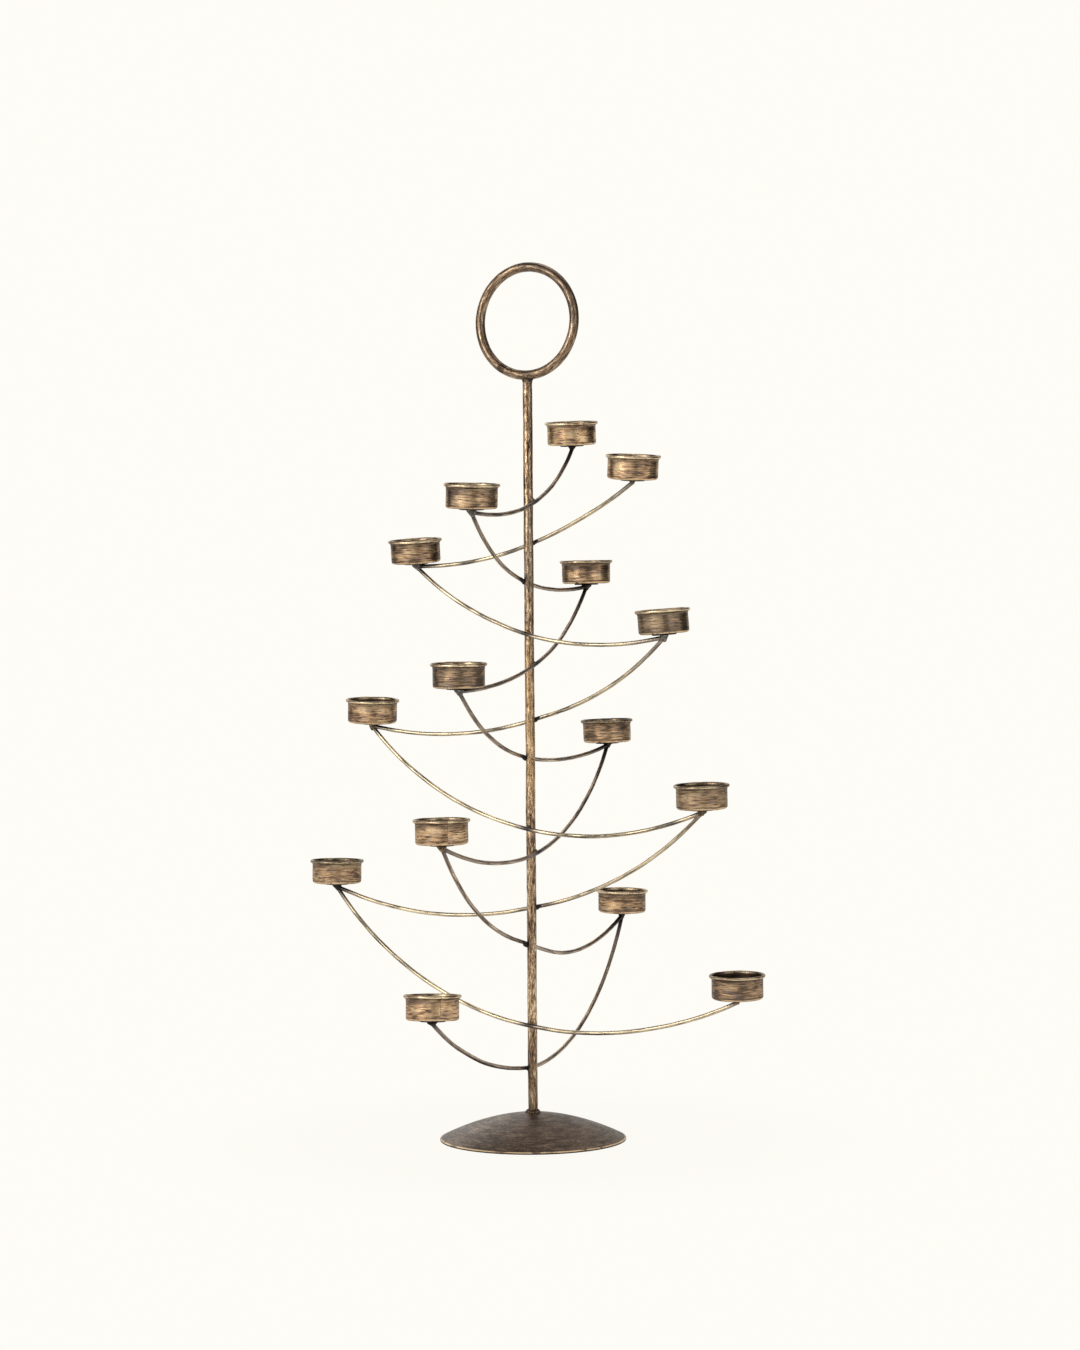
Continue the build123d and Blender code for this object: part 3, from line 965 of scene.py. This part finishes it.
def weldFoot():
    chance = random.Random(weld["seed"])
    turning, shift = weld["footScatter"]
    lumps = []
    for count, out, rise, radius in weld["foot"]:
        for index in range(count):
            angle = math.tau * (index + chance.uniform(-turning, turning)) / count
            level = Vector((math.cos(angle), math.sin(angle), 0)) * (out + chance.uniform(-shift, shift))
            height = weld["footHeight"] + rise + chance.uniform(-shift, shift)
            lumps.append(ball((level + Vector((0, 0, height))) * mm, radius))
    settle(fuse("footWeld", lumps, finishes["darkWeld"]), "foot_weld")


for metal in ("black", "grey", "brown"):
    weldCups(metal)
for metal in ("black", "brown"):
    weldArms(metal)
weldRing()
weldFoot()
print("welds are run")


# Rod, ring and wires
rod = {
    "low": 20.3,
    "high": 640.5,
    "rings": 124,
    "sides": 32,
    "ringHeight": 686.0,
    "ringRadius": 45.4,
    "ringTurn": -4.5,
    "ringEnds": 6.0,  # degrees from the top to where the bent rod's ends meet
    "ringSteps": 144,
    "wireSides": 16,
    "wireStep": 2.6,  # mm from one ring of points to the next along a wire
    "wireShift": 500,  # mm from the pattern of one wire to the next
    "burnt": (  # how far soot and heat tint reach from the weld under each cup, in mm
        (30, 44), (0, 26), (13, 28), (15, 26), (28, 44), (5, 46), (11, 26), (6, 14), (26, 40),
        (2, 10), (6, 26), (15, 28), (30, 46), (3, 9), (7, 34),
    ),
    "wireBurnt": (7, 13),  # the same on a wire where it passes the rod
    "rodBurnt": (10, 12),  # and on the rod, at the arms whose welds are sooty
    "sootyArms": (2, 3, 6, 7, 10, 11, 13),
    "ringBurnt": (11, 16),
    "footBurnt": (8, 12),
    "sootCore": 1.4,  # the larger, the longer soot or tint stays full before it fades
    "tintCore": 1.6,
    "wander": (45.0, 0.7),  # size and strength in mm of the slow unevenness
    "hammer": (5.0, 0.22),
    "smooth": 50,
}


def heatOf(spot, welds):  # soot and heat tint: 1 at a weld, 0 well away from it
    soot = tint = 0.0
    for point, sootReach, tintReach in welds:
        away = (spot - point).length / mm
        soot = max(soot, min(1, rod["sootCore"] - away * rod["sootCore"] / max(sootReach, 0.01)))
        tint = max(tint, min(1, rod["tintCore"] - away * rod["tintCore"] / max(tintReach, 0.01)))
    return soot, tint, 0


def markRod(piece, route, welds):  # route tells how far along a point is, and where across
    piece.data.attributes.new("strip", "FLOAT_VECTOR", "POINT")
    piece.data.attributes.new("burnt", "FLOAT_VECTOR", "POINT")
    strip, burnt = (piece.data.attributes[name].data for name in ("strip", "burnt"))
    for vertex in piece.data.vertices:
        strip[vertex.index].vector = route(vertex.co)
        burnt[vertex.index].vector = heatOf(vertex.co, welds)


def startRing(name, spot, facing, radius, sides):  # a ring of points, to be drawn out along the rod
    noneSelected()
    turn = facing.to_track_quat("Z", "Y").to_euler()
    bpy.ops.mesh.primitive_circle_add(vertices=sides, radius=radius, location=spot, rotation=turn)
    piece = bpy.context.object
    piece.name = piece.data.name = name
    applyPlace()
    editEdges("SELECT")
    return piece


def closeUp(piece, finish):  # caps the ends and turns the faces outwards
    bpy.ops.mesh.select_all(action="SELECT")
    bpy.ops.mesh.remove_doubles(threshold=0.02 * mm)
    bpy.ops.mesh.fill_holes(sides=0)
    bpy.ops.mesh.normals_make_consistent(inside=False)
    bpy.ops.object.mode_set(mode="OBJECT")
    piece.data.materials.append(finish)


def finishRod(piece, node):
    wrinkle(piece, "wander", *rod["wander"])
    wrinkle(piece, "hammer", *rod["hammer"])
    applyAll(piece)
    bpy.ops.object.shade_smooth_by_angle(angle=math.radians(rod["smooth"]))
    settle(piece, node)


def makeRod():
    radius, low = wire["rodRadius"] / mm, rod["low"]
    step = (rod["high"] - low) / rod["rings"]
    piece = startRing("rod", Vector((0, 0, low * mm)), Vector((0, 0, 1)), wire["rodRadius"], rod["sides"])
    pullRings(radius, low, [(radius, low + step * (index + 1)) for index in range(rod["rings"])])
    closeUp(piece, finishes["rod"])
    welds = [(crossing(arm)[0], *rod["rodBurnt"]) for arm in rod["sootyArms"]]
    welds.append((ringSeat, *rod["ringBurnt"]))
    welds.append((Vector((0, 0, weld["footHeight"] * mm)), *rod["footBurnt"]))
    markRod(piece, lambda point: (point.z / mm, point.x / mm, point.y / mm), welds)
    finishRod(piece, "stem")


def makeRing():
    turn, lean = math.radians(rod["ringTurn"]), math.radians(rod["ringEnds"])
    level = Vector((math.cos(turn), math.sin(turn), 0))
    axis = Vector((math.sin(turn), -math.cos(turn), 0))
    centre = Vector((0, 0, rod["ringHeight"] * mm))
    out = Vector((0, 0, 1)) * math.cos(lean) - level * math.sin(lean)
    way = axis.cross(out)
    piece = startRing("ring", centre + out * rod["ringRadius"] * mm, way, wire["rodRadius"], rod["sides"])
    bpy.ops.mesh.spin(steps=rod["ringSteps"], angle=math.tau, center=centre, axis=axis)
    closeUp(piece, finishes["ring"])

    def route(point):
        arm = point - centre
        aside = arm.dot(axis)
        arm -= axis * aside
        turned = math.atan2(-arm.dot(way), -arm.dot(out)) + math.pi
        return turned * rod["ringRadius"] + ringShift, arm.length / mm - rod["ringRadius"], aside / mm

    markRod(piece, route, [(ringSeat, *rod["ringBurnt"])])
    finishRod(piece, "top_ring")


class Arc:  # part of a circle from a start, along a way, to an end
    def __init__(self, start, way, end):
        chord = end - start
        self.axis = way.cross(chord).normalized()
        inward = self.axis.cross(way)
        self.radius = chord.length_squared / (2 * chord.dot(inward))
        self.centre = start + inward * self.radius
        self.out = -inward
        self.way = way
        self.angle = 2 * math.asin(min(1, chord.length / (2 * self.radius)))
        self.length = self.radius * self.angle

    def draw(self):  # the selected ring of points goes along it
        steps = round(self.length / mm / rod["wireStep"])
        bpy.ops.mesh.spin(steps=steps, angle=-self.angle, center=self.centre, axis=self.axis)

    def route(self, spot):  # how far along, how far out and how far to the side
        arm = spot - self.centre
        aside = arm.dot(self.axis)
        arm -= self.axis * aside
        turned = math.atan2(arm.dot(self.way), arm.dot(self.out))
        return turned * self.radius, arm.length - self.radius, aside


def drawStraight(way):  # the selected ring of points goes on in a line
    steps = round(way.length / mm / rod["wireStep"])
    for _ in range(steps):
        bpy.ops.mesh.extrude_edges_move()
        bpy.ops.transform.translate(value=way / steps)


def makeWire(number):
    near, climb = bend(number, number)
    far, _ = bend(number, number + 2)
    straight = (near - far).length
    down = Arc(knot(number), leaving(number, number), near)
    up = Arc(far, -climb, knot(number + 2))
    piece = startRing(f"wire{number:02}", knot(number), down.way, wire["radius"], rod["wireSides"])
    down.draw()
    drawStraight(far - near)
    up.draw()
    closeUp(piece, finishes["greyWire" if number % 2 else "goldWire"])

    def route(point):
        first = (point - near).dot(climb) > 0
        along, out, aside = (down if first else up).route(point)
        if not first:
            along += down.length + straight
        return along / mm + number * rod["wireShift"], out / mm, aside / mm

    welds = [(knot(cup), *rod["burnt"][cup - 1]) for cup in (number, number + 2)]
    welds.append((crossing(number)[0], *rod["wireBurnt"]))
    markRod(piece, route, welds)
    finishRod(piece, f"arm_{number:02}")


makeRod()
makeRing()
for number in range(1, len(wire["arms"]) + 1):
    makeWire(number)
print("rod, ring and wires are bent")


# Foot
footMaterials = frame["nodes"]["foot"].data.materials
footMaterials.clear()
footMaterials.append(finishes["foot"])
print("the foot is finished")
